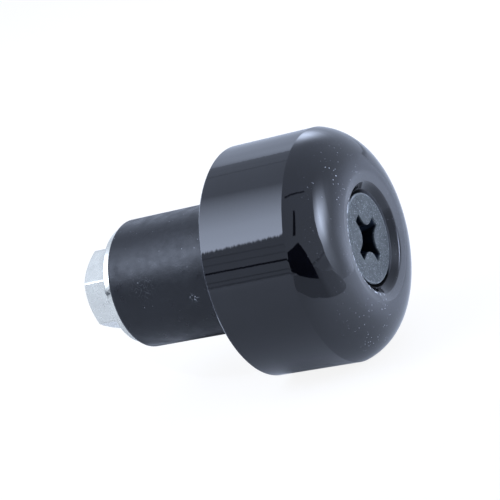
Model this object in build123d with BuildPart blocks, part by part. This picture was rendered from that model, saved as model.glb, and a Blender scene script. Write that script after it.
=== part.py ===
from build123d import *
from math import atan, degrees, radians, tan
import os

# Bar end weight for a handlebar: a steel head, a long screw, a rubber sleeve and a flanged nut.
# Sizes are in millimetres. +X runs outwards along the bar, and the origin is the centre of the flat back of the head,
# where the end of the bar tube stops. The sleeve and the nut go into the tube, towards -X.

# Head, turned from one steel bar
head_diameter = 30.0
head_length = 16.75
side_length = 11.8
rim_chamfer = 0.25
dish_diameter = 17.0
dish_depth = 0.25
ridge_inset = 0.2

# Rubber sleeve
sleeve_diameter = 17.2
sleeve_length = 18.05

# Thread of the screw and the nut, drawn plain at its mean diameter
thread_diameter = 6.0
thread_pitch = 1.0
pitch_line_share = 0.6495

# Screw with a flat cone-backed head
screw_head_diameter = 11.6
screw_head_land = 0.4
screw_head_angle = 90.0
screw_sink = 1.07
screw_tip_stand_out = 0.27
screw_tip_chamfer = 0.6

# Cross recess in the face of the screw
recess_span = 6.9
recess_wing_width = 1.35
recess_root_radius = 1.8
recess_depth = 3.0
recess_tip_angle = 26.5
recess_turn = 20.4

# Hexagon nut with a flange
nut_across_flats = 10.0
nut_height = 6.1
nut_end_diameter = 9.5
nut_end_chamfer_angle = 30.0
nut_corner_turn = 30.0
flange_diameter = 15.7
flange_edge = 1.15
flange_slope = 22.0
flange_rim_chamfer = 0.35
bore_chamfer = 0.5

# Clearances, on the radius, and along the axis at the cone
hole_clearance = 0.3
thread_clearance = 0.05
seat_clearance = 0.05

# Worked out from the sizes above
shank_diameter = thread_diameter - pitch_line_share * thread_pitch
screw_hole_diameter = thread_diameter + 2 * hole_clearance
nut_bore_diameter = shank_diameter + 2 * thread_clearance
dish_floor = head_length - dish_depth
ridge_radius = dish_diameter / 2 - ridge_inset
screw_face = head_length - screw_sink
screw_tip = -(sleeve_length + nut_height + screw_tip_stand_out)
nut_bearing = -sleeve_length
nut_end = nut_bearing - nut_height

cone_slope = tan(radians(screw_head_angle / 2))
cone_top = screw_face - screw_head_land
cone_bottom = cone_top - (screw_head_diameter - shank_diameter) / 2 / cone_slope
mouth_radius = screw_head_diameter / 2 + (dish_floor - cone_top + seat_clearance) * cone_slope
dish_angle = 2 * degrees(atan((dish_diameter / 2 - mouth_radius) / dish_depth))

os.makedirs("parts", exist_ok=True)


# Head: a straight side that breaks into the arc of the crown, with a shallow dish in front and a cone for the screw
with BuildPart() as weight_head:
    with BuildSketch(Plane.XY):
        with BuildLine():
            Polyline(
                (head_length, ridge_radius),
                (head_length, 0),
                (0, 0),
                (0, head_diameter / 2),
                (side_length, head_diameter / 2),
            )
            TangentArc((head_length, ridge_radius), (side_length, head_diameter / 2), tangent=(0, 1))
        make_face()
    revolve(axis=Axis.X)
    back_edge = weight_head.edges().filter_by(GeomType.CIRCLE).sort_by(Axis.X)[0]
    chamfer(back_edge, length=rim_chamfer)
    with Locations(Plane.YZ.offset(head_length)):
        CounterSinkHole(
            radius=screw_hole_diameter / 2,
            counter_sink_radius=dish_diameter / 2,
            counter_sink_angle=dish_angle,
        )
    with Locations(Plane.YZ.offset(dish_floor)):
        CounterSinkHole(
            radius=screw_hole_diameter / 2,
            counter_sink_radius=mouth_radius,
            counter_sink_angle=screw_head_angle,
        )

weight_head.part.label = "weight_head"
export_step(weight_head.part, "parts/weight_head.step")


# Rubber sleeve: a thick tube cut off square
with BuildPart() as expander_sleeve:
    with BuildSketch(Plane.YZ):
        Circle(sleeve_diameter / 2)
        Circle(screw_hole_diameter / 2, mode=Mode.SUBTRACT)
    extrude(amount=-sleeve_length)

expander_sleeve.part.label = "expander_sleeve"
export_step(expander_sleeve.part, "parts/expander_sleeve.step")


# The hollow that the driver fits: four wings, kept inside a cone so that their tips slope inwards with depth
with BuildPart() as driver_point:
    with BuildSketch(Plane.YZ.offset(screw_face)) as wings:
        Rectangle(recess_span, recess_wing_width, rotation=recess_turn)
        Rectangle(recess_wing_width, recess_span, rotation=recess_turn)
        roots = wings.vertices().sort_by_distance((0, 0))[:4]
        fillet(roots, radius=recess_root_radius)
    extrude(amount=-recess_depth)
    recess_floor_radius = recess_span / 2 - recess_depth * tan(radians(recess_tip_angle))
    with BuildSketch(Plane.XY):
        with BuildLine():
            Polyline(
                (screw_face, 0),
                (screw_face, recess_span / 2),
                (screw_face - recess_depth, recess_floor_radius),
                (screw_face - recess_depth, 0),
                close=True,
            )
        make_face()
    revolve(axis=Axis.X, mode=Mode.INTERSECT)


# Screw: one turned outline from the face to the tip, with the cross recess cut out of its face
with BuildPart() as clamp_screw:
    with BuildSketch(Plane.XY):
        with BuildLine():
            Polyline(
                (screw_face, 0),
                (screw_face, screw_head_diameter / 2),
                (cone_top, screw_head_diameter / 2),
                (cone_bottom, shank_diameter / 2),
                (screw_tip + screw_tip_chamfer, shank_diameter / 2),
                (screw_tip, shank_diameter / 2 - screw_tip_chamfer),
                (screw_tip, 0),
                close=True,
            )
        make_face()
    revolve(axis=Axis.X)
    add(driver_point.part, mode=Mode.SUBTRACT)

clamp_screw.part.label = "clamp_screw"
export_step(clamp_screw.part, "parts/clamp_screw.step")


# Nut: a hexagon with a turned chamfer at its free end, on a sloping flange
with BuildPart() as flange_nut:
    with BuildSketch(Plane.YZ.offset(nut_bearing)):
        RegularPolygon(nut_across_flats / 2, 6, major_radius=False, rotation=nut_corner_turn)
    extrude(amount=-nut_height)
    end_slope = tan(radians(nut_end_chamfer_angle))
    chamfer_foot = nut_end + (nut_across_flats - nut_end_diameter / 2) * end_slope
    with BuildSketch(Plane.XY):
        with BuildLine():
            Polyline(
                (nut_bearing, 0),
                (nut_bearing, nut_across_flats),
                (chamfer_foot, nut_across_flats),
                (nut_end, nut_end_diameter / 2),
                (nut_end, 0),
                close=True,
            )
        make_face()
    revolve(axis=Axis.X, mode=Mode.INTERSECT)
    flange_radius = flange_diameter / 2
    flange_rise = flange_edge + flange_radius * tan(radians(flange_slope))
    with BuildSketch(Plane.XY):
        with BuildLine():
            Polyline(
                (nut_bearing, 0),
                (nut_bearing, flange_radius),
                (nut_bearing - flange_edge, flange_radius),
                (nut_bearing - flange_rise, 0),
                close=True,
            )
        make_face()
    revolve(axis=Axis.X)
    rim_edges = flange_nut.edges().filter_by(GeomType.CIRCLE).sort_by(SortBy.RADIUS)[-2:]
    chamfer(rim_edges.sort_by(Axis.X)[0], length=flange_rim_chamfer)
    with Locations(Plane.YZ.offset(nut_bearing)):
        Hole(nut_bore_diameter / 2)
    bore_mouths = flange_nut.edges().filter_by(GeomType.CIRCLE).sort_by(SortBy.RADIUS)[:2]
    chamfer(bore_mouths.sort_by(Axis.X)[0], length=bore_chamfer)

flange_nut.part.label = "flange_nut"
export_step(flange_nut.part, "parts/flange_nut.step")
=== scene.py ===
# %% [markdown]
# # A bar end weight, from turned steel to studio picture
#
# This lesson dresses a small motorcycle part: a gloss black weight for the end of a handlebar. A screw
# sunk in its front draws up a nut behind a rubber sleeve, and the sleeve swells inside the bar. The solids
# arrive as a fixed frame. Each piece is made again here as a finer mesh in the same place, given a finish
# of its own, and then lit and photographed.

# %% Load the solids
from functools import reduce
from math import acos, asin, atan, cos, degrees, exp, pi, radians, sin, sqrt, tan

import bpy
from mathutils import Matrix, Vector


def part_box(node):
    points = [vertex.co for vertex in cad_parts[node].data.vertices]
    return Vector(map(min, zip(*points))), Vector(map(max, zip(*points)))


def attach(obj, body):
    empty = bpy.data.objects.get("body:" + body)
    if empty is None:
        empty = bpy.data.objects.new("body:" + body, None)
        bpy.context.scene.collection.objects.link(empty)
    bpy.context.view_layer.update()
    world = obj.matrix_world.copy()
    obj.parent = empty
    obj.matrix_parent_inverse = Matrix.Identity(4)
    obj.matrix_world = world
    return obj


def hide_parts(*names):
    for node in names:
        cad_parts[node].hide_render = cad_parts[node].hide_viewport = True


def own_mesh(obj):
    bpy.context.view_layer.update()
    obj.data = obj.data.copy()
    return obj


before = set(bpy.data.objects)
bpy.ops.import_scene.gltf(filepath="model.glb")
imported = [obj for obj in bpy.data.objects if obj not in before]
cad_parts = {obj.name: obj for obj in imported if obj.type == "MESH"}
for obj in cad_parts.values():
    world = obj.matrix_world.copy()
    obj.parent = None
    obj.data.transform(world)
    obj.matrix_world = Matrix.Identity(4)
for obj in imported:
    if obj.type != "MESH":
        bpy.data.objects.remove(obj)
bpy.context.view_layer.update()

MM = 0.001
for node in sorted(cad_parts):
    low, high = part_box(node)
    print(node, "spans", [round(size / MM, 2) for size in (high - low)], "mm")

# %% [markdown]
# ## Sizes
#
# The frame gives the outside of each piece, so those sizes are read from it. The few that a box can't
# show, such as the depth of the cross recess, are written here. All of them are in millimetres, measured
# along the axis (X) from the flat back of the head, or outwards from the axis.

# %% Sizes of the pieces
head_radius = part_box("weight_head")[1].y / MM
head_front = 16.75
side_length = 11.8
rim_bevel = 0.25
ridge_radius = 8.3
dish_floor = head_front - 0.25
screw_hole_radius = 3.3

sleeve_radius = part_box("expander_sleeve")[1].y / MM
sleeve_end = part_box("expander_sleeve")[0].x / MM

screw_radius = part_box("clamp_screw")[1].y / MM
screw_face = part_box("clamp_screw")[1].x / MM
screw_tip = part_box("clamp_screw")[0].x / MM
screw_land = 0.4
seat_clearance = 0.05
shank_radius = 2.675
recess_depth = 3.0

# The cone in the head runs beside the cone of the screw, both at 45 degrees
mouth_radius = screw_radius + dish_floor - (screw_face - screw_land - seat_clearance)

nut_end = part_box("flange_nut")[0].x / MM
nut_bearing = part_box("flange_nut")[1].x / MM
flange_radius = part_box("flange_nut")[1].y / MM

widths = {"head": head_radius, "sleeve": sleeve_radius, "screw head": screw_radius, "cone": mouth_radius}
print("across, in mm:", {name: round(2 * radius, 2) for name, radius in widths.items()})

# %% [markdown]
# ## Helpers for node trees
#
# Geometry and materials are both made of nodes below. `put` adds one node: it takes plain values or other
# nodes' sockets for the inputs, and a socket is linked. `calc` is a Math node in one line: `plus` adds two
# values, `times` multiplies several and `most` keeps the largest. `fade` turns a range into nought to one,
# and `open_group` starts a tree with named inputs and one output.

# %% Node helpers
def put(tree, kind, values=None, **settings):
    node = tree.nodes.new(kind)
    for name, setting in settings.items():
        setattr(node, name, setting)
    for name, value in (values or {}).items():
        if isinstance(value, bpy.types.NodeSocket):
            tree.links.new(value, node.inputs[name])
        else:
            node.inputs[name].default_value = value
    return node


def calc(tree, operation, *values, clamp=False):
    numbered = dict(enumerate(values))
    return put(tree, "ShaderNodeMath", numbered, operation=operation, use_clamp=clamp).outputs[0]


def times(tree, *values):
    return reduce(lambda first, second: calc(tree, "MULTIPLY", first, second), values)


def plus(tree, first, second):
    return calc(tree, "ADD", first, second)


def most(tree, *values):
    return reduce(lambda first, second: calc(tree, "MAXIMUM", first, second), values)


def fade(tree, value, start, end):
    """Nought where the value is at the start and one where it is at the end."""
    return put(tree, "ShaderNodeMapRange", {0: value, 1: start, 2: end}).outputs[0]


def open_group(name, kind, inputs, output, output_kind):
    tree = bpy.data.node_groups.new(name, kind)
    for label, socket_kind, value in inputs:
        socket = tree.interface.new_socket(label, in_out="INPUT", socket_type="NodeSocket" + socket_kind)
        if value is not None:
            socket.default_value = value
    tree.interface.new_socket(output, in_out="OUTPUT", socket_type="NodeSocket" + output_kind)
    return tree, tree.nodes.new("NodeGroupInput").outputs, tree.nodes.new("NodeGroupOutput").inputs


print("node helpers ready")

# %% [markdown]
# ## Outlines with softened corners
#
# Nothing turned, moulded or pressed has a perfectly sharp corner, and it is the small radius that catches
# the light. An outline is listed as corners: the place along the axis, the distance from it, the radius
# and, for some, the steps of the arc. `rounded` swaps each corner for an arc and sets a guard point on the
# straight run beside it, so that smooth shading doesn't bend the reflections on flat stretches.

# %% Rounded outlines
GUARD = 0.06


def rounded(corners, steps=5):
    points = [Vector(corners[0][:2])]
    for before, corner, after in zip(corners, corners[1:], corners[2:]):
        here = Vector(corner[:2])
        radius = corner[2]
        if radius == 0:
            points.append(here)
            continue
        corner_steps = corner[3] if len(corner) > 3 else steps
        to_before = (Vector(before[:2]) - here).normalized()
        to_after = (Vector(after[:2]) - here).normalized()
        half_angle = to_before.angle(to_after) / 2
        reach = radius / tan(half_angle)
        centre = here + (to_before + to_after).normalized() * (radius / sin(half_angle))
        start = here + to_before * reach - centre
        end = here + to_after * reach - centre
        points.append(centre + start + to_before * GUARD)
        for step in range(corner_steps + 1):
            points.append(centre + start.slerp(end, step / corner_steps) * radius)
        points.append(centre + end + to_after * GUARD)
    points.append(Vector(corners[-1][:2]))
    return points


print("a square corner of radius 1 becomes", len(rounded([(0, 0), (5, 0, 1), (5, 5)])), "points")

# %% [markdown]
# ## Turning on a lathe, with Geometry Nodes
#
# The head and the sleeve are round about the axis: their shape is a rule, one outline carried round a
# circle. Blender's Screw modifier or Spin could do it, but a small node tree says the rule plainly: take a
# flat grid, use one side as the share of a turn and the other as the place along the outline, and wrap each
# point round the axis. The seam is merged afterwards, and only true corners stay sharp.

# %% Grids wrapped round the axis
SHARP_ANGLE = radians(35)
MERGE_DISTANCE = 1e-7


def flat_grid(tree, segments, rows):
    """A grid, with the share of a turn and the row of each of its points."""
    columns = plus(tree, segments, 1)
    size = {"Size X": 1, "Size Y": 1, "Vertices X": columns, "Vertices Y": rows}
    grid = put(tree, "GeometryNodeMeshGrid", size).outputs["Mesh"]
    position = put(tree, "GeometryNodeInputPosition").outputs[0]
    place = put(tree, "ShaderNodeSeparateXYZ", {0: position}).outputs
    share = plus(tree, place["X"], 0.5)
    last = calc(tree, "SUBTRACT", rows, 1)
    row = calc(tree, "ROUND", times(tree, plus(tree, place["Y"], 0.5), last))
    return grid, share, row


def wrap(tree, grid, along, radius, share):
    """The grid with each point at its radius and share of a turn."""
    angle = times(tree, share, 2 * pi)
    y = times(tree, radius, calc(tree, "COSINE", angle))
    z = times(tree, radius, calc(tree, "SINE", angle))
    target = put(tree, "ShaderNodeCombineXYZ", {0: along, 1: y, 2: z}).outputs[0]
    return put(tree, "GeometryNodeSetPosition", {"Geometry": grid, "Position": target}).outputs[0]


def close_tree(tree, geometry, finish, result):
    merged = put(tree, "GeometryNodeMergeByDistance", {"Geometry": geometry, "Distance": MERGE_DISTANCE})
    smooth = put(tree, "GeometryNodeSetShadeSmooth", {"Geometry": merged.outputs[0]})
    fold = put(tree, "GeometryNodeInputMeshEdgeAngle").outputs[0]
    corner = calc(tree, "GREATER_THAN", fold, SHARP_ANGLE)
    sharp = {"Geometry": smooth.outputs[0], "Selection": corner, "Shade Smooth": False}
    creased = put(tree, "GeometryNodeSetShadeSmooth", sharp, domain="EDGE")
    real = put(tree, "GeometryNodeRealizeInstances", {"Geometry": creased.outputs[0]})
    dressed = put(tree, "GeometryNodeSetMaterial", {"Geometry": real.outputs[0], "Material": finish})
    tree.links.new(dressed.outputs[0], result["Mesh"])
    return tree


print("corners sharper than", round(degrees(SHARP_ANGLE)), "degrees stay sharp")


# %% The turning tree
def turning_tree():
    inputs = [("Outline", "Geometry", None), ("Segments", "Int", 192), ("Finish", "Material", None)]
    tree, given, result = open_group("turn_outline", "GeometryNodeTree", inputs, "Mesh", "Geometry")
    outline = given["Outline"]
    rows = put(tree, "GeometryNodeAttributeDomainSize", {"Geometry": outline}).outputs["Point Count"]
    grid, share, row = flat_grid(tree, given["Segments"], rows)
    position = put(tree, "GeometryNodeInputPosition").outputs[0]
    wanted = {"Geometry": outline, "Value": position, "Index": row}
    sample = put(tree, "GeometryNodeSampleIndex", wanted, data_type="FLOAT_VECTOR")
    point = put(tree, "ShaderNodeSeparateXYZ", {0: sample.outputs[0]}).outputs
    turned = wrap(tree, grid, point["X"], point["Y"], share)
    return close_tree(tree, turned, given["Finish"], result)


def grow(name, tree, start, values):
    """A piece with the tree's result as its plain mesh."""
    piece = bpy.data.objects.new(name, start)
    bpy.context.scene.collection.objects.link(piece)
    modifier = piece.modifiers.new("shape", "NODES")
    modifier.node_group = tree
    for socket in tree.interface.items_tree:
        if socket.in_out == "INPUT" and socket.name in values:
            modifier[socket.identifier] = values[socket.name]
    graph = bpy.context.evaluated_depsgraph_get()
    shaped = piece.evaluated_get(graph)
    plain = bpy.data.meshes.new_from_object(shaped, preserve_all_data_layers=True, depsgraph=graph)
    piece.modifiers.remove(modifier)
    piece.data = plain
    plain.name = name
    print(name, "has", len(plain.vertices), "points and", len(plain.polygons), "faces")
    return piece


def outline_mesh(name, points):
    mesh = bpy.data.meshes.new(name)
    edges = [(k, k + 1) for k in range(len(points) - 1)]
    mesh.from_pydata([(p.x * MM, p.y * MM, 0) for p in points], edges, [])
    return mesh


turning = turning_tree()
print("the turning tree has", len(turning.nodes), "nodes")

# %% [markdown]
# ## Shared effects for the finishes
#
# Two effects turn up on several pieces, so each is a shader group with its own inputs. Dust is bright
# specks: a Voronoi pattern gives scattered cells, a random number per cell picks the few that hold a speck,
# and a soft cloud gathers them in patches. Grain is fine noise around a middle value, for the height of a
# bump and for small changes of shade.

# %% Dust and grain groups
def dust_group():
    inputs = [
        ("Place", "Vector", None),
        ("Spacing", "Float", 1000.0),
        ("Share", "Float", 0.1),
        ("Size", "Float", 0.15),
        ("Patch Scale", "Float", 150.0),
    ]
    tree, given, result = open_group("dust_specks", "ShaderNodeTree", inputs, "Mask", "Float")
    place = given["Place"]
    cells = put(tree, "ShaderNodeTexVoronoi", {"Vector": place, "Scale": given["Spacing"]}).outputs
    pick = put(tree, "ShaderNodeSeparateColor", {0: cells["Color"]}).outputs
    clouds = {"Vector": place, "Scale": given["Patch Scale"], "Detail": 2.0}
    cloud = put(tree, "ShaderNodeTexNoise", clouds).outputs[0]
    patch = fade(tree, cloud, 0.42, 0.62)
    chosen = calc(tree, "LESS_THAN", pick[0], times(tree, given["Share"], patch))
    reach = times(tree, given["Size"], plus(tree, pick[1], 0.35))
    speck = fade(tree, cells["Distance"], reach, 0.0)
    tree.links.new(calc(tree, "MULTIPLY", speck, chosen, clamp=True), result["Mask"])
    return tree


def grain_group():
    inputs = [
        ("Place", "Vector", None),
        ("Scale", "Float", 3000.0),
        ("Detail", "Float", 3.0),
        ("Low", "Float", 0.0),
        ("High", "Float", 1.0),
    ]
    tree, given, result = open_group("fine_grain", "ShaderNodeTree", inputs, "Value", "Float")
    wanted = {"Vector": given["Place"], "Scale": given["Scale"], "Detail": given["Detail"]}
    noise = put(tree, "ShaderNodeTexNoise", wanted).outputs[0]
    limits = {0: noise, 1: 0.3, 2: 0.7, 3: given["Low"], 4: given["High"]}
    tree.links.new(put(tree, "ShaderNodeMapRange", limits).outputs[0], result["Value"])
    return tree


dust_specks = dust_group()
fine_grain = grain_group()
print("groups:", dust_specks.name, fine_grain.name)

# %% [markdown]
# ## Helpers for the finishes
#
# A finish starts from Object coordinates, which move with the piece, so its marks stay put. They are placed
# by masks in millimetres: `ramp` fades in between two sizes, `near` fades out around a point, and `on_ring`
# picks a narrow ring about the axis.

# %% Finish helpers
def dust(tree, place, **values):
    named = {name.replace("_", " ").title(): value for name, value in values.items()}
    return put(tree, "ShaderNodeGroup", {"Place": place, **named}, node_tree=dust_specks).outputs["Mask"]


def grain(tree, place, scale, low=0.0, high=1.0, detail=3.0):
    values = {"Place": place, "Scale": scale, "Detail": detail, "Low": low, "High": high}
    return put(tree, "ShaderNodeGroup", values, node_tree=fine_grain).outputs["Value"]


def open_finish(name):
    finish = bpy.data.materials.new(name)
    finish.use_nodes = True
    tree = finish.node_tree
    surface = tree.nodes["Principled BSDF"].inputs
    place = put(tree, "ShaderNodeTexCoord").outputs["Object"]
    return finish, tree, surface, place


def mix_colour(tree, mask, first, second):
    return put(tree, "ShaderNodeMix", {0: mask, 6: first, 7: second}, data_type="RGBA").outputs[2]


def bump(tree, surface, height, strength, depth):
    values = {"Height": height, "Strength": strength, "Distance": depth * MM}
    tree.links.new(put(tree, "ShaderNodeBump", values).outputs[0], surface["Normal"])


def ramp(tree, value, start, end):
    """Nought at one size in millimetres and one at another."""
    return fade(tree, value, start * MM, end * MM)


def near(tree, place, centre, reach):
    """One at a point, in millimetres, fading to nought at the reach."""
    spot = tuple(size * MM for size in centre)
    distance = put(tree, "ShaderNodeVectorMath", {0: place, 1: spot}, operation="DISTANCE").outputs["Value"]
    limits = {0: distance, 1: reach * MM, 2: 0.0}
    return put(tree, "ShaderNodeMapRange", limits, interpolation_type="SMOOTHERSTEP").outputs[0]


def on_ring(tree, from_axis, radius, half_width):
    """One on a ring about the axis, in millimetres, and nought elsewhere."""
    return calc(tree, "COMPARE", from_axis, radius * MM, half_width * MM)


def round_place(tree, place):
    """The place along the axis, its sideways part and its distance from the axis."""
    parts = put(tree, "ShaderNodeSeparateXYZ", {0: place}).outputs
    squares = plus(tree, calc(tree, "POWER", parts["Y"], 2.0), calc(tree, "POWER", parts["Z"], 2.0))
    return parts["X"], parts["Y"], calc(tree, "SQRT", squares)


print("finish helpers ready")

# %% [markdown]
# ## Gloss black paint
#
# The head is steel under smooth black paint, so nearly all that is seen is reflection. A mirror-flat black
# would look like a computer's. Turning left fine rings on the side, which make the edge of a reflection
# tremble. Dust has settled in two patches of the rounded front and along the lip, and a thin haze covers
# the flat of it. A painted highlight lightens the back rim and one stretch of the lip, where their small
# rounded edges catch the light. The gap round the screw holds painted shade: black on the near side, and on
# the far side a grey that stands in for a lit wall. Where painted shade or a painted dark line should
# swallow the light, Metallic is raised over a black colour, because a black metal has nothing to reflect
# with.

# %% Paint
PAINT_BLACKS = (0.0008, 0.0008, 0.0016, 1), (0.0018, 0.0018, 0.0032, 1)
PAINT_HAZE = (0.018, 0.018, 0.022, 1)
PAINTED_RIM_HIGHLIGHT = (0.07, 0.072, 0.08, 1)
PAINTED_LIP_GLINT = (0.14, 0.14, 0.155, 1)
PAINTED_GAP_SHADE_AND_LIGHT = (0.0006, 0.0006, 0.0008, 1), (0.045, 0.047, 0.052, 1)
PALE_DUST = (0.66, 0.68, 0.72, 1)
UPPER_PATCH = (16.4, -4.0, 8.2)
LOWER_PATCH = (15.2, -5.0, -9.5)
FAR_LIP = (16.5, 5.9, -4.0)


def dust_on_paint(tree, place, along, sideways, from_axis):
    patches = plus(tree, near(tree, place, UPPER_PATCH, 7.5), near(tree, place, LOWER_PATCH, 8.5))
    gathered = calc(tree, "ADD", patches, 0.08, clamp=True)
    fine = dust(tree, place, spacing=2300.0, share=1.5, size=0.2, patch_scale=300.0)
    coarse = dust(tree, place, spacing=900.0, share=0.5, size=0.1, patch_scale=200.0)
    front = ramp(tree, along, side_length + 1.2, side_length + 2.7)
    specks = times(tree, most(tree, fine, coarse), front, gathered)
    crumbs = dust(tree, place, spacing=2400.0, share=3.0, size=0.9, patch_scale=700.0)
    lip = on_ring(tree, from_axis, mouth_radius + 0.08, 0.2)
    near_side = ramp(tree, sideways, -2.0, -4.5)
    return most(tree, specks, times(tree, crumbs, lip, near_side))


def gloss_black_paint():
    finish, tree, surface, place = open_finish("paint_finish")
    along, sideways, from_axis = round_place(tree, place)
    dusty = dust_on_paint(tree, place, along, sideways, from_axis)
    in_cone = ramp(tree, from_axis, mouth_radius - 0.07, mouth_radius - 0.27)
    # Painted shade in the gap round the screw, below the level of its face
    painted_gap_shade = times(tree, ramp(tree, along, screw_face + 0.06, screw_face - 0.1), in_cone)
    far_side = ramp(tree, sideways, 2.0, 4.0)
    far_lip = near(tree, place, FAR_LIP, 3.8)

    black = mix_colour(tree, grain(tree, place, 260.0), *PAINT_BLACKS)
    past_lip = ramp(tree, from_axis, mouth_radius - 0.17, mouth_radius + 0.23)
    flat_front = times(tree, ramp(tree, along, head_front - 0.45, head_front - 0.05), past_lip)
    haze = times(tree, flat_front, grain(tree, place, 500.0, 0.55, 1.0))
    black = mix_colour(tree, haze, black, PAINT_HAZE)
    # Painted highlight on the back rim, standing in for the light that its small bevel catches
    at_back = ramp(tree, along, rim_bevel + 0.09, rim_bevel - 0.03)
    back_rim = times(tree, at_back, ramp(tree, from_axis, head_radius - 0.4, head_radius - 0.25))
    rim_wear_and_highlight = times(tree, back_rim, grain(tree, place, 700.0, 0.2, 1.0))
    black = mix_colour(tree, rim_wear_and_highlight, black, PAINTED_RIM_HIGHLIGHT)
    # Painted shade in the gap: black on the near side, and on the far side a grey that stands in for a lit
    # wall
    black = mix_colour(tree, painted_gap_shade, black, mix_colour(tree, far_side, *PAINTED_GAP_SHADE_AND_LIGHT))
    # Painted highlight: a thin light line on the far lip, where its rounded edge catches the light
    glint = times(tree, on_ring(tree, from_axis, mouth_radius - 0.05, 0.06), far_lip)
    black = mix_colour(tree, glint, black, PAINTED_LIP_GLINT)
    tree.links.new(mix_colour(tree, dusty, black, PALE_DUST), surface["Base Color"])

    dull_cone = times(tree, in_cone, far_side, 0.15)
    dull = most(tree, times(tree, dusty, 0.6), times(tree, painted_gap_shade, 0.8), dull_cone)
    smooth = grain(tree, place, 120.0, 0.025, 0.06)
    tree.links.new(plus(tree, smooth, dull), surface["Roughness"])

    # Painted shade: Metallic over the black colour takes all reflection out of the near side of the gap
    painted_black_gap = times(tree, painted_gap_shade, calc(tree, "SUBTRACT", 1.0, far_side))
    # Painted dark line along the far lip, beside the painted glint, which takes the reflection out there
    painted_dark_line = times(tree, on_ring(tree, from_axis, mouth_radius + 0.16, 0.13), far_lip, 0.9)
    # Painted shade: a quarter of the reflection is also taken off the whole cone wall
    tree.links.new(most(tree, painted_black_gap, painted_dark_line, times(tree, in_cone, 0.25)), surface["Metallic"])

    drawn_out = {0: place, 1: (1.0, 0.1, 0.1)}
    rings = put(tree, "ShaderNodeVectorMath", drawn_out, operation="MULTIPLY").outputs[0]
    side = ramp(tree, along, side_length + 0.4, side_length - 0.4)
    marks = times(tree, grain(tree, rings, 1700.0, detail=2.0), side)
    waves = plus(tree, marks, grain(tree, place, 900.0, 0.0, 0.25, detail=1.0))
    bump(tree, surface, waves, 1.0, 0.003)
    return finish


paint = gloss_black_paint()
print(paint.name, "uses", len(paint.node_tree.nodes), "nodes")

# %% [markdown]
# ## The head
#
# One piece of steel turned on a lathe: a flat back with a barely broken rim, a straight side, and a crown
# that starts at a crease and curves round to the front. In the middle the surface dips into a shallow dish,
# then drops over a soft lip into a cone of 90 degrees, where the head of the screw sits. Below the cone
# lies the hole for the shank. A cylinder with bevels could come close, but a lathe is how it was made, so
# the outline is listed once and turned.

# %% Turned head
ARC_STEPS = 56
crown_length = head_front - side_length
crown_width = head_radius - ridge_radius
arc_radius = (crown_length**2 + crown_width**2) / 2 / crown_length
arc_start = asin((side_length - head_front + arc_radius) / arc_radius)
arc_end = radians(86)
arc_angles = [arc_start + (arc_end - arc_start) * k / ARC_STEPS for k in range(1, ARC_STEPS + 1)]
crown = [(head_front - arc_radius * (1 - sin(q)), ridge_radius + arc_radius * cos(q), 0) for q in arc_angles]
hole_start = 6.0
head_corners = [
    (hole_start, screw_hole_radius),
    (0.0, screw_hole_radius, 0.15),
    (0.0, head_radius - rim_bevel, 0.08),
    (rim_bevel, head_radius, 0.08),
    (side_length, head_radius, 0.4),
    *crown,
    (head_front, ridge_radius + 0.1, 2.0, 8),
    (dish_floor, mouth_radius, 0.25, 6),
    (dish_floor - (mouth_radius - screw_hole_radius), screw_hole_radius, 0.2),
    (hole_start, screw_hole_radius),
]
head_outline = outline_mesh("head_outline", rounded(head_corners))
head = grow("turned_head", turning, head_outline, {"Segments": 256, "Finish": paint})
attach(head, "weight")
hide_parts("weight_head")

# %% [markdown]
# ## Black rubber
#
# The sleeve is plain moulded rubber: dark, a little blue under cool light, and satin, because its surface
# is rough at a scale too small to see. Grain feeds the shade, the roughness and a shallow bump. Handling
# has left pale specks, a rubbed film on the upper side and two spots of lint. The hairs of the lint are the
# lines where a noise passes its middle value, which curl as hairs do.

# %% Rubber
RUBBER_BLACKS = (0.0035, 0.0038, 0.0052, 1), (0.0065, 0.007, 0.0088, 1)
RUBBER_DUST = (0.45, 0.46, 0.48, 1)
LINT_TUFT = (-5.9, -8.6, -0.6)
LINT_WISP = (-12.9, -8.2, 2.1)
RUBBED_SPOT = (-8.0, -6.5, 5.6)


def black_rubber():
    finish, tree, surface, place = open_finish("rubber_finish")
    black = mix_colour(tree, grain(tree, place, 220.0), *RUBBER_BLACKS)
    specks = dust(tree, place, spacing=1700.0, share=0.6, size=0.13, patch_scale=150.0)
    curl = put(tree, "ShaderNodeTexNoise", {"Vector": place, "Scale": 1500.0, "Detail": 1.0}).outputs[0]
    off_middle = calc(tree, "ABSOLUTE", calc(tree, "SUBTRACT", curl, 0.5))
    hairs = fade(tree, off_middle, 0.022, 0.006)
    tuft = times(tree, near(tree, place, LINT_TUFT, 1.0), 0.65)
    wisp = times(tree, near(tree, place, LINT_WISP, 3.2), 0.09)
    lint = times(tree, hairs, most(tree, tuft, wisp))
    film = times(tree, near(tree, place, RUBBED_SPOT, 7.5), 0.025, grain(tree, place, 1500.0))
    pale = most(tree, specks, lint, film)
    tree.links.new(mix_colour(tree, pale, black, RUBBER_DUST), surface["Base Color"])
    tree.links.new(grain(tree, place, 700.0, 0.26, 0.46), surface["Roughness"])
    surface["Specular IOR Level"].default_value = 0.32
    bump(tree, surface, grain(tree, place, 5200.0), 0.35, 0.02)
    return finish


rubber = black_rubber()
print(rubber.name, "uses", len(rubber.node_tree.nodes), "nodes")

# %% [markdown]
# ## The sleeve
#
# A thick tube between the head and the nut. Its outline is a rectangle with a soft edge at the nut's end,
# where the rubber was cut and has rounded over.

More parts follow.
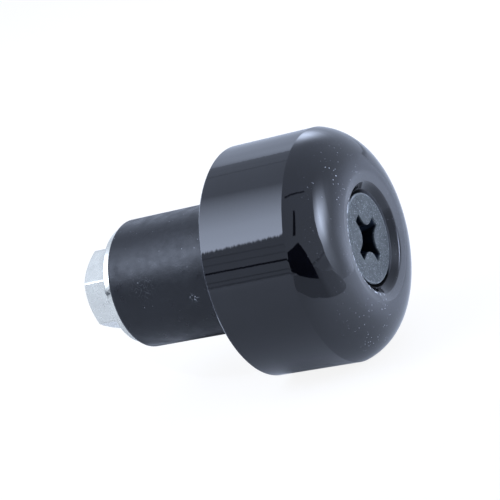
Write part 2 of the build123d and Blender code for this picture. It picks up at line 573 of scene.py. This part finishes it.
# %% Rubber sleeve
tube_start = -6.0
sleeve_corners = [
    (tube_start, screw_hole_radius),
    (sleeve_end, screw_hole_radius, 0.2),
    (sleeve_end, sleeve_radius, 0.5, 8),
    (0.0, sleeve_radius, 0.12),
    (0.0, screw_hole_radius, 0.2),
    (tube_start, screw_hole_radius),
]
sleeve_outline = outline_mesh("sleeve_outline", rounded(sleeve_corners))
sleeve = grow("rubber_sleeve", turning, sleeve_outline, {"Segments": 192, "Finish": rubber})
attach(sleeve, "weight")
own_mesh(sleeve)
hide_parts("expander_sleeve")

# %% [markdown]
# ## A thread, with Geometry Nodes
#
# A thread is a groove that follows a helix, so it suits a tree. Four rows of a grid make one turn: two at
# the foot of the groove and two at the crest. Each point slides along the axis by its angle, one pitch for
# a whole turn, which makes the rows helices. Near both ends the radius fades to that of the plain end, as a
# chamfered thread does. The same tree cuts the outside of the screw and the inside of the nut, where its
# faces are turned round.

# %% The thread tree
ROWS_PER_TURN = 4
CREST_SHIFT = 1 / 16


def thread_tree():
    lengths = ["Start", "End", "Pitch", "Run Out"]
    lengths += ["Foot Radius", "Crest Radius", "Start Radius", "End Radius"]
    inputs = [("Body", "Geometry", None), *[(length, "Float", None) for length in lengths]]
    inputs += [("Segments", "Int", 120), ("Inside", "Bool", False), ("Finish", "Material", None)]
    tree, given, result = open_group("thread_wall", "GeometryNodeTree", inputs, "Mesh", "Geometry")

    def blend(share, low, high):
        return put(tree, "ShaderNodeMix", {0: share, 2: low, 3: high}).outputs[0]

    start = given["Start"]
    end = given["End"]
    pitch = given["Pitch"]
    length = calc(tree, "DIVIDE", calc(tree, "SUBTRACT", end, start), pitch)
    turns = plus(tree, calc(tree, "CEIL", length), 3)
    rows = plus(tree, times(tree, turns, ROWS_PER_TURN), 1)
    grid, share, row = flat_grid(tree, given["Segments"], rows)

    kind = calc(tree, "MODULO", row, ROWS_PER_TURN)
    crest_start = calc(tree, "COMPARE", kind, 2, 0.1)
    crest_end = calc(tree, "COMPARE", kind, 3, 0.1)
    shift = times(tree, calc(tree, "SUBTRACT", crest_start, crest_end), CREST_SHIFT)
    first = calc(tree, "SUBTRACT", calc(tree, "FLOOR", calc(tree, "DIVIDE", start, pitch)), 1)
    in_rows = plus(tree, calc(tree, "DIVIDE", row, ROWS_PER_TURN), shift)
    turn = plus(tree, in_rows, plus(tree, first, share))
    x = calc(tree, "MINIMUM", most(tree, times(tree, turn, pitch), start), end)

    crest = plus(tree, crest_start, crest_end)
    wall = blend(crest, given["Foot Radius"], given["Crest Radius"])
    from_start = calc(tree, "DIVIDE", calc(tree, "SUBTRACT", x, start), given["Run Out"])
    wall = blend(from_start, given["Start Radius"], wall)
    from_end = calc(tree, "DIVIDE", calc(tree, "SUBTRACT", end, x), given["Run Out"])
    wall = blend(from_end, given["End Radius"], wall)

    outside = wrap(tree, grid, x, wall, share)
    inside = put(tree, "GeometryNodeFlipFaces", {"Mesh": outside}).outputs[0]
    side = {"Switch": given["Inside"], "False": outside, "True": inside}
    chosen = put(tree, "GeometryNodeSwitch", side, input_type="GEOMETRY").outputs[0]
    both = tree.nodes.new("GeometryNodeJoinGeometry")
    tree.links.new(given["Body"], both.inputs[0])
    tree.links.new(chosen, both.inputs[0])
    return close_tree(tree, both.outputs[0], given["Finish"], result)


thread_pitch = 1.0
thread_foot = 2.46
thread_crest = 3.0
thread_gap = 0.06
threading = thread_tree()
THREAD = {"Pitch": thread_pitch * MM, "Segments": 120}
print("the thread tree has", len(threading.nodes), "nodes")

# %% [markdown]
# ## Rings into a skin
#
# The screw's face and the hexagon aren't round, so they can't be turned. Both can still be drawn as rings
# about the axis, each with the same number of points, and joined ring to ring. Where a ring is a plain
# circle its points lie at the same angles as the thread's, so that the two meet point to point and can be
# merged.

# %% Skins from rings
RING = THREAD["Segments"]


def circle(x, radius, shift=0):
    angles = [2 * pi * (k + shift) / RING for k in range(RING)]
    return [Vector((x, radius * cos(angle), radius * sin(angle))) for angle in angles]


def skin(name, rings, extra_rings=(), cap_last=False):
    """Faces from ring to ring, a cap on the last ring if wanted, and a cap on each extra ring."""
    points = [tuple(point * MM) for ring in [*rings, *extra_rings] for point in ring]
    faces = []
    for row in range(len(rings) - 1):
        here = row * RING
        for k in range(RING):
            after = (k + 1) % RING
            faces.append((here + k, here + after, here + RING + after, here + RING + k))
    if cap_last:
        faces.append([(len(rings) - 1) * RING + k for k in range(RING)])
    for ring in range(len(extra_rings)):
        faces.append([(len(rings) + ring) * RING + k for k in reversed(range(RING))])
    mesh = bpy.data.meshes.new(name)
    mesh.from_pydata(points, [], faces)
    return mesh


print("each ring holds", RING, "points")

# %% [markdown]
# ## Dark screw steel
#
# The screw has a black chemical coat: matt, grey-green, and full of tiny crystals that sparkle. Voronoi
# cells about a tenth of a millimetre wide give each crystal its own brightness. The coat has rubbed thin at
# the rim of the face. Painted shade darkens the cross recess and the side of the head, and Metallic over
# the dark colour takes away their reflection.

# %% Screw finish
COAT_GREYS = (0.030, 0.035, 0.036, 1), (0.052, 0.059, 0.060, 1)
CRYSTAL = (0.55, 0.58, 0.60, 1)
RUBBED_COAT = (0.36, 0.38, 0.39, 1)
PAINTED_HOLLOW_SHADE = (0.011, 0.015, 0.024, 1)


def dark_screw_steel():
    finish, tree, surface, place = open_finish("screw_finish")
    along, _, from_axis = round_place(tree, place)
    crystals = put(tree, "ShaderNodeTexVoronoi", {"Vector": place, "Scale": 9000.0}).outputs
    brightness = put(tree, "ShaderNodeSeparateColor", {0: crystals["Color"]}).outputs[0]
    sparkle = fade(tree, brightness, 0.86, 1.0)
    coat = mix_colour(tree, grain(tree, place, 420.0), *COAT_GREYS)
    coat = mix_colour(tree, times(tree, sparkle, 0.35), coat, CRYSTAL)
    rim = ramp(tree, from_axis, screw_radius - 0.3, screw_radius)
    rim_wear_and_highlight = times(tree, rim, grain(tree, place, 2400.0))
    coat = mix_colour(tree, rim_wear_and_highlight, coat, RUBBED_COAT)
    # Painted shade deep in the cross recess and on the side of the head beside the gap
    below_face = ramp(tree, along, screw_face - 0.04, screw_face - 0.3)
    recess_floor = screw_face - recess_depth
    recess = times(tree, below_face, ramp(tree, along, recess_floor - 0.6, recess_floor - 0.2))
    painted_hollow_shade = most(tree, recess, ramp(tree, from_axis, screw_radius - 0.02, screw_radius + 0.06))
    tree.links.new(mix_colour(tree, painted_hollow_shade, coat, PAINTED_HOLLOW_SHADE), surface["Base Color"])
    tree.links.new(painted_hollow_shade, surface["Metallic"])
    tree.links.new(grain(tree, place, 1500.0, 0.42, 0.62), surface["Roughness"])
    surface["Specular IOR Level"].default_value = 0.4
    bump(tree, surface, brightness, 0.18, 0.015)
    return finish


screw_steel = dark_screw_steel()
print(screw_steel.name, "uses", len(screw_steel.node_tree.nodes), "nodes")

# %% [markdown]
# ## The cross recess
#
# The mouth of the recess is four wings joined by round roots, and each wing tip lies on a cone, so the
# recess narrows with depth. One eighth of the outline is worked out by geometry: along the tip to its
# corner, then along the side and round the root. Mirroring gives the rest. `widen` moves an outline
# outwards, which makes the soft edge of the mouth.

# %% Outline of the recess
recess_reach = 3.45
wing_half_width = 0.675
root_radius = 1.8
tip_slope = tan(radians(26.5))
recess_turn = radians(20.4)
root_centre = wing_half_width + root_radius
root_distance = root_centre * sqrt(2)
EIGHTH = RING // 8
TIP_STEPS = 4
CROWDING = 1.4


def side_radius(angle):
    """Distance of a wing's side, or of the root that follows it, at an angle from the wing's middle."""
    if angle <= atan(wing_half_width / root_centre):
        return wing_half_width / sin(angle)
    to_centre = root_distance * cos(pi / 4 - angle)
    return to_centre - sqrt(to_centre**2 - root_distance**2 + root_radius**2)


def corner_angle(tip_radius):
    """Angle at which the tip's circle meets the side of the wing, or its root."""
    straight = asin(wing_half_width / tip_radius)
    if tip_radius * cos(straight) >= root_centre:
        return straight
    nearness = (root_distance**2 + tip_radius**2 - root_radius**2) / (2 * root_distance * tip_radius)
    return pi / 4 - acos(nearness)


def cross_ring(depth, widen=0.0):
    tip_radius = recess_reach - depth * tip_slope
    corner = corner_angle(tip_radius)
    tip = [(corner * k / TIP_STEPS, tip_radius) for k in range(TIP_STEPS)]
    side_steps = EIGHTH - TIP_STEPS
    side_shares = [(k / side_steps) ** CROWDING for k in range(side_steps + 1)]
    side_angles = [corner + (pi / 4 - corner) * share for share in side_shares]
    part = tip + [(angle, side_radius(angle)) for angle in side_angles]
    quarter = part + [(pi / 2 - angle, radius) for angle, radius in part[-2:0:-1]]
    turns = [recess_turn + wing * pi / 2 for wing in range(4)]
    flat = [Vector((cos(a + turn), sin(a + turn))) * radius for turn in turns for a, radius in quarter]
    ring = []
    for k, point in enumerate(flat):
        along = flat[(k + 1) % RING] - flat[k - 1]
        moved = point + Vector((along.y, -along.x)).normalized() * widen
        ring.append(Vector((screw_face - depth, moved.x, moved.y)))
    return ring


print("the recess is", 2 * recess_reach, "mm across and", recess_depth, "mm deep")

# %% [markdown]
# ## The screw
#
# A flat-headed machine screw, nearly all of it hidden. Its rings run up from the shank, over the cone
# behind the head and the narrow land, across the face, over the soft edge of the recess and down to the
# floor. The thread tree adds the threaded length and its tip. The circles start a few points round, so that
# they line up with the wings.

# %% Screw
thread_start = -2.0
tip_radius = shank_radius - 0.6
cone_top = screw_face - screw_land
cone_bottom = cone_top - (screw_radius - shank_radius)
SHIFT = round(recess_turn / (2 * pi) * RING)
screw_corners = [
    (thread_start, shank_radius),
    (cone_bottom, shank_radius, 0.4),
    (cone_top, screw_radius, 0.1),
    (screw_face, screw_radius, 0.16),
    (screw_face, screw_radius - 1.0),
]
mouth_edge = 0.08
RECESS_STEPS = 6
wall_depth = (recess_depth - mouth_edge) / RECESS_STEPS
screw_rings = [circle(point.x, point.y, SHIFT) for point in rounded(screw_corners)]
screw_rings += [cross_ring(0.0, 2 * mouth_edge), cross_ring(0.0, mouth_edge)]
screw_rings += [cross_ring(0.3 * mouth_edge, 0.3 * mouth_edge)]
screw_rings += [cross_ring(mouth_edge + wall_depth * k) for k in range(RECESS_STEPS + 1)]
screw = grow(
    "cross_screw",
    threading,
    skin("screw_body", screw_rings, [circle(screw_tip, tip_radius)], cap_last=True),
    {
        **THREAD,
        "Start": screw_tip * MM,
        "End": thread_start * MM,
        "Foot Radius": thread_foot * MM,
        "Crest Radius": thread_crest * MM,
        "Start Radius": tip_radius * MM,
        "End Radius": shank_radius * MM,
        "Run Out": 0.9 * MM,
        "Finish": screw_steel,
    },
)
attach(screw, "screw")
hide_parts("clamp_screw")

# %% [markdown]
# ## Zinc plating
#
# The nut is plated with bright zinc, a metal finish. Plating isn't a mirror: the steel below was pressed
# and barrelled, so the reflection is broken up by fine grain, with duller patches where it has been
# handled. The colour is a warm grey, which the cool light of the tent turns neutral. Some grime sits on the
# flange.

# %% Zinc
ZINC_GREYS = (0.63, 0.61, 0.535, 1), (0.71, 0.69, 0.605, 1)
ZINC_DIRT = (0.06, 0.065, 0.07, 1)
GRIME_SPOT = (-18.3, -7.7, 1.5)


def zinc_plate():
    finish, tree, surface, place = open_finish("zinc_finish")
    metal = mix_colour(tree, grain(tree, place, 380.0), *ZINC_GREYS)
    specks = dust(tree, place, spacing=2200.0, share=0.05, size=0.18, patch_scale=300.0)
    smear = fade(tree, grain(tree, place, 1300.0), 0.55, 0.8)
    grime = times(tree, smear, near(tree, place, GRIME_SPOT, 2.0))
    tree.links.new(mix_colour(tree, most(tree, specks, grime), metal, ZINC_DIRT), surface["Base Color"])
    surface["Metallic"].default_value = 1.0
    tree.links.new(grain(tree, place, 900.0, 0.20, 0.32), surface["Roughness"])
    bump(tree, surface, grain(tree, place, 1200.0), 0.2, 0.01)
    return finish


zinc = zinc_plate()
print(zinc.name, "uses", len(zinc.node_tree.nodes), "nodes")

# %% [markdown]
# ## The nut
#
# A hexagon on a sloping flange. Seen along one direction from the axis, the nut is an outline like a turned
# one: end face, chamfer, flat, slope of the flange, rim. Only the distance of the flat changes with the
# direction, so the outline is worked out for each of the ring's angles, and the rings run through matching
# points. The angles crowd towards the corners of the hexagon, where a small radius rounds them.

# %% Nut
flat_distance = 5.0
corner_radius = 0.35
end_face_radius = 4.75
end_slope = tan(radians(30))
flange_edge = 1.15
flange_slope = tan(radians(22))
bore_mouth = 3.225
PER_FLAT = RING // 6


def hexagon_radius(angle):
    """Distance of the hexagon's wall, angle measured from the middle of a flat."""
    to_corner = pi / 6 - abs(angle)
    centre = (flat_distance - corner_radius) / cos(pi / 6)
    tangent = atan((flat_distance - corner_radius) * tan(pi / 6) / flat_distance)
    if abs(angle) <= tangent:
        return flat_distance / cos(angle)
    return centre * cos(to_corner) + sqrt(corner_radius**2 - (centre * sin(to_corner)) ** 2)


def nut_column(k):
    share = 2 * (k % PER_FLAT) / PER_FLAT - 1
    off_middle = (pi / 6) * (1 - (1 - abs(share)) ** 3) * (1 if share > 0 else -1)
    wall = hexagon_radius(off_middle)
    corners = [
        (nut_end, bore_mouth),
        (nut_end, end_face_radius, 0.1),
        (nut_end + (wall - end_face_radius) * end_slope, wall, 0.14),
        (nut_bearing - flange_edge - (flange_radius - wall) * flange_slope, wall, 0.35),
        (nut_bearing - flange_edge, flange_radius, 0.3),
        (nut_bearing, flange_radius, 0.12),
        (nut_bearing, bore_mouth),
    ]
    angle = (k // PER_FLAT) * pi / 3 + off_middle
    outline = rounded(corners)
    even = 2 * pi * k / RING - pi / 6
    angles = [even] + [angle] * (len(outline) - 2) + [even]
    return [Vector((p.x, p.y * cos(a), p.y * sin(a))) for p, a in zip(outline, angles)]


nut_rings = list(zip(*[nut_column(k) for k in range(RING)]))
nut = grow(
    "zinc_nut",
    threading,
    skin("nut_body", nut_rings),
    {
        **THREAD,
        "Start": nut_end * MM,
        "End": nut_bearing * MM,
        "Foot Radius": (thread_foot + thread_gap) * MM,
        "Crest Radius": (thread_crest + thread_gap) * MM,
        "Start Radius": bore_mouth * MM,
        "End Radius": bore_mouth * MM,
        "Run Out": 0.6 * MM,
        "Inside": True,
        "Finish": zinc,
    },
)
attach(nut, "nut")
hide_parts("flange_nut")

# %% [markdown]
# ## Camera
#
# The picture was taken from close in front, a little above, with a long lens. The camera's place was found
# by fitting circles of the head, sleeve and screw to their outlines. It leans to one side, because the part
# lay with its nut on the table while here its axis is level. Directions are given as an azimuth, from the
# front (-Y) towards the head's end (+X), and an elevation, both in degrees.

# %% Camera
def towards(azimuth, elevation):
    turn = radians(azimuth)
    height = radians(elevation)
    return Vector((sin(turn) * cos(height), -cos(turn) * cos(height), sin(height)))


camera_data = bpy.data.cameras.new("studio_camera")
camera_data.lens = 129.6
camera_data.sensor_width = 36.0
camera_data.clip_start = 0.01
camera_data.clip_end = 20.0
camera = bpy.data.objects.new("studio_camera", camera_data)
bpy.context.scene.collection.objects.link(camera)
camera_distance = 231.3
camera_roll = radians(19.47)
aim = Vector((-0.91, 0.0, 1.56)) * MM
stand = towards(29.68, 14.49) * camera_distance * MM
backward = (stand - aim).normalized()
level = Vector((0, 0, 1)).cross(backward).normalized()
rise = backward.cross(level)
right = level * cos(camera_roll) - rise * sin(camera_roll)
upward = rise * cos(camera_roll) + level * sin(camera_roll)
camera.matrix_world = Matrix.Translation(stand) @ Matrix((right, upward, backward)).transposed().to_4x4()
bpy.context.scene.camera = camera
print("camera", round(stand.length / MM), "mm from the part")

# %% [markdown]
# ## Light tent
#
# Gloss black shows its surroundings more than itself, so the light is built as surroundings. The part
# stands in a white tent: the world is an even, slightly cool white, a little brighter on the right. To the
# camera it is plain white, so the background stays white without more light on the part.

# %% World
tent_tint = (0.87, 1.0, 1.29, 1)
tent_glow = 0.87
brighter_right = 0.1
world = bpy.data.worlds.new("light_tent")
bpy.context.scene.world = world
world.use_nodes = True
world_tree = world.node_tree
background = world_tree.nodes["Background"].inputs
seen = put(world_tree, "ShaderNodeLightPath").outputs["Is Camera Ray"]
world_tree.links.new(mix_colour(world_tree, seen, tent_tint, (1, 1, 1, 1)), background["Color"])
direction = put(world_tree, "ShaderNodeTexCoord").outputs["Generated"]
rightwards = put(world_tree, "ShaderNodeSeparateXYZ", {0: direction}).outputs["X"]
tent_level = calc(world_tree, "MULTIPLY_ADD", rightwards, brighter_right, tent_glow)
world_tree.links.new(most(world_tree, seen, tent_level), background["Strength"])
print("the tent glows at", tent_glow)

# %% [markdown]
# ## Cloth cards
#
# Small lamps would leave bare dots on the paint, so the light comes from sheets of glowing cloth, and their
# shapes are what the reflections show. A card is listed in rows of directions as seen from the part, each
# with its glow, and a lamp behind the cloth adds soft spots to it. The cards are hidden from the camera.
# The small ones, which stand nearer, show in reflections only and light nothing.

# %% Card helpers
CLOTH_DISTANCE = 600.0
DETAIL_DISTANCE = 540.0
PARTS = 8
floor_height = -(head_radius + 0.1)


def look(azimuth, elevation, distance, lift):
    """The point this way at this distance from the part, or just above the floor if that is nearer."""
    if elevation < 0:
        distance = min(distance, (floor_height + lift) / sin(radians(elevation)))
    return towards(azimuth, elevation) * distance * MM


def glowing_cloth():
    finish = bpy.data.materials.new("glowing_cloth")
    finish.use_nodes = True
    tree = finish.node_tree
    tree.nodes.remove(tree.nodes["Principled BSDF"])
    glow = put(tree, "ShaderNodeAttribute", attribute_name="glow").outputs["Fac"]
    emission = put(tree, "ShaderNodeEmission", {"Color": tent_tint, "Strength": glow})
    tree.links.new(emission.outputs[0], tree.nodes["Material Output"].inputs["Surface"])
    return finish


cloth_finish = glowing_cloth()


def cloth(name, rows, lamp=(), detail=False, lift=0.1):
    """A cloth over rows of (glow, azimuth and elevation of the left end, the same of the right end)."""
    distance = DETAIL_DISTANCE if detail else CLOTH_DISTANCE
    pairs = zip(rows, rows[1:])
    fine = [Vector(a).lerp(Vector(b), k / PARTS) for a, b in pairs for k in range(PARTS)]
    fine.append(Vector(rows[-1]))
    points = []
    glows = []
    for glow, left_azimuth, left_elevation, right_azimuth, right_elevation in fine:
        for k in range(PARTS + 1):
            azimuth = left_azimuth + (right_azimuth - left_azimuth) * k / PARTS
            elevation = left_elevation + (right_elevation - left_elevation) * k / PARTS
            points.append(look(azimuth, elevation, distance, lift))
            glows.append(glow + sum(soft_spot(azimuth, elevation, *spot) for spot in lamp))
    faces = []
    for row in range(len(fine) - 1):
        for k in range(PARTS):
            first = row * (PARTS + 1) + k
            faces.append((first, first + 1, first + PARTS + 2, first + PARTS + 1))
    mesh = bpy.data.meshes.new(name)
    mesh.from_pydata([tuple(point) for point in points], [], faces)
    mesh.attributes.new("glow", "FLOAT", "POINT").data.foreach_set("value", glows)
    mesh.materials.append(cloth_finish)
    piece = bpy.data.objects.new(name, mesh)
    bpy.context.scene.collection.objects.link(piece)
    piece.visible_camera = False
    piece.visible_diffuse = not detail
    return piece


def soft_spot(azimuth, elevation, glow, centre, spread, tilt=0.0):
    """The glow of a soft round lamp in one direction: full at its centre, fading outwards."""
    across = azimuth - centre[0]
    above = elevation - centre[1]
    along = across * cos(tilt) + above * sin(tilt)
    aside = above * cos(tilt) - across * sin(tilt)
    return glow * exp(-((along / spread[0]) ** 2) - (aside / spread[1]) ** 2)


print("cards stand", CLOTH_DISTANCE, "mm away, and the small ones", DETAIL_DISTANCE)

# %% [markdown]
# ## Bright cards
#
# Three large sheets give the main shapes of light: a softbox high on the left, a cloth on the right and one
# behind the part, these two with a lamp shining through. The softbox fades at its lower edge, as cloth does
# at its frame.

# %% Softbox and lamps
# The soft spots of a lamp, each with its glow, centre, spread and tilt; the bulb comes first
RIGHT_LAMP = [
    (12.5, (90.5, 16), (14, 10.5), radians(34)),
    (0.55, (110, 4), (24, 16)),
    (1.2, (84, -5), (11, 7)),
    (1.1, (127, -12), (13, 7)),
]
LAMP_BEHIND = [
    (4.6, (-171, 35), (11.5, 10)),
    (0.9, (-146, 42), (9, 8)),
    (0.35, (-142, 27), (10, 8)),
]
bright_cards = [
    cloth("softbox_left", [
        (tent_glow, -46.9, 15.8, -10.9, 48.8),
        (6.7, -48, 17, -12, 50),
        (5.7, -64, 32, -16, 57),
        (4.2, -80, 40, -20, 66),
        (2.9, -94, 45, -25, 75),
        (1.1, -106, 47, -60, 84),
        (0.9, -118, 46, -150, 84),
        (tent_glow, -125, 42, -165, 76),
    ]),
    cloth("cloth_right", [
        (0.92, 128, 45, 165, 30),
        (0.92, 110, 43, 165, 25),
        (0.92, 96, 38, 165, 20),
        (tent_glow, 87, 31, 165, 15),
        (tent_glow, 81, 22, 165, 10),
        (tent_glow, 79.3, 12, 165, 5),
        (tent_glow, 81.5, 4, 165, 2),
        (0.95, 82, -1, 165, -1),
        (1.0, 81.5, -4, 160, -4),
        (1.05, 82, -8, 160, -8),
        (1.1, 85.5, -12, 158, -12),
        (1.3, 88, -15.5, 150, -15.5),
    ], lamp=RIGHT_LAMP),
    cloth("cloth_behind", [
        (tent_glow, -128, 39, -128, 10),
        (tent_glow, -141, 44, -141, 10),
        (tent_glow, -155, 49, -155, 10),
        (tent_glow, -170, 56, -170, 10),
        (tent_glow, -205, 60, -205, 10),
    ], lamp=LAMP_BEHIND),
]
print("bright cards:", [card.name for card in bright_cards])

# %% [markdown]
# ## Dark cards
#
# What isn't white in the tent gives the paint its dark shapes: the opening in front and a slit beside it,
# folds, a rib and a seam of the cloth, and the arm next to the camera. A mat lies on the table in front, and
# the floor below the sleeve is in its shade.

# %% Opening, folds, mat and shade
dark_cards = [
    cloth("tent_rib", [(0.6, -120, 48.5, -120, 49.7), (0.6, -137, 58.5, -137, 59.7)], detail=True),
    cloth("tent_opening", [
        (0.02, 34, 21.6, 37, 21.4),
        (0.02, 11, 18, 40, 18),
        (0.02, 8, 10, 46, 10),
        (0.02, 9, 1, 50.5, 1),
        (0.02, 24, -4.5, 53, -5),
        (0.02, 38, -7.6, 53.5, -8),
        (0.02, 51, -10, 54, -10.2),
    ], detail=True, lift=0.4),
    cloth("tent_slit", [(0.02, -50, 10.5, -50, 11.6), (0.02, 12, 9.8, 12, 12.2)], detail=True),
    cloth("tent_fold_low", [(0.5, -50, 2.6, -50, 3.6), (0.5, 12, 2.6, 12, 3.6)], detail=True),
    cloth("tent_fold_middle", [(0.6, -50, 17, -50, 18), (0.6, 8, 17, 8, 18)], detail=True),
    cloth("tent_fold_high", [(0.6, -46, 23, -46, 24), (0.6, 5, 23, 5, 24)], detail=True),
    cloth("camera_arm", [(0.05, 43, 49, 48, 47), (0.05, 29, 29, 35, 28)], detail=True),
    cloth("tent_seam", [
        (0.1, 84, 48, 84, 50),
        (0.1, 68, 57, 68, 59),
        (0.1, 49, 63, 49, 65),
        (0.1, 25, 65, 25, 67),
    ], detail=True),
    cloth("table_mat", [
        (0.6, 12, -12, 12, -3),
        (0.6, 35, -18.4, 35, -3),
        (0.6, 55, -20, 55, -3),
        (0.9, 64, -20.3, 63, -8),
        (1.0, 78, -19.8, 80, -10),
        (1.15, 86, -18.9, 87, -13.7),
        (1.3, 90.5, -17.6, 90.5, -16.4),
    ], detail=True, lift=0.2),
    cloth("sleeve_shade", [
        (0.05, -86, -66, -180, -66),
        (0.05, -92, -48, -178, -48),
        (0.05, -110, -27, -176, -27),
        (0.1, -118, -13, -172, -13),
        (0.15, -122, -9.0, -170, -9.0),
    ], detail=True),
]
print(len(bright_cards) + len(dark_cards), "cards around the part")

# %% [markdown]
# ## Floor
#
# A wide white floor just under the head. For the camera most of it is plain white, like the backdrop, and
# the rest is lit like paper, which keeps a soft shadow under the part. The pool of light that a lamp would
# leave on it beside the head shows in reflections only.

# %% Floor
POOL_CENTRE = (60.0, 4.0)
POOL_RADIUS = 75.0
POOL_GLOW = 1.0
PAPER = (0.60, 0.60, 0.60, 1)
WHITE_SHARE = 0.8
WHITE_GLOW = 1.1


def white_floor():
    finish = bpy.data.materials.new("white_floor")
    finish.use_nodes = True
    tree = finish.node_tree
    tree.nodes.remove(tree.nodes["Principled BSDF"])
    paper = put(tree, "ShaderNodeBsdfDiffuse", {"Color": PAPER}).outputs[0]
    white = put(tree, "ShaderNodeEmission", {"Strength": WHITE_GLOW}).outputs[0]
    path = put(tree, "ShaderNodeLightPath").outputs
    share = times(tree, path["Is Camera Ray"], WHITE_SHARE)
    both = put(tree, "ShaderNodeMixShader", {0: share, 1: paper, 2: white}).outputs[0]
    place = put(tree, "ShaderNodeTexCoord").outputs["Object"]
    in_pool = near(tree, place, (*POOL_CENTRE, floor_height), POOL_RADIUS)
    level = times(tree, in_pool, path["Is Glossy Ray"], POOL_GLOW)
    pool = put(tree, "ShaderNodeEmission", {"Color": tent_tint, "Strength": level}).outputs[0]
    lit = put(tree, "ShaderNodeAddShader", {0: both, 1: pool})
    tree.links.new(lit.outputs[0], tree.nodes["Material Output"].inputs["Surface"])
    return finish


floor_half = 4.0
floor_mesh = bpy.data.meshes.new("floor")
floor_corners = [(x * floor_half, y * floor_half) for x, y in ((-1, -1), (1, -1), (1, 1), (-1, 1))]
floor_mesh.from_pydata([(x, y, floor_height * MM) for x, y in floor_corners], [], [(0, 1, 2, 3)])
floor_mesh.materials.append(white_floor())
ground = bpy.data.objects.new("floor", floor_mesh)
bpy.context.scene.collection.objects.link(ground)
print("floor at", round(floor_height, 2), "mm")

# %% [markdown]
# ## Finish
#
# The colours are shown as they are, with no film curve.

# %% Finish
bpy.context.scene.view_settings.view_transform = "Standard"
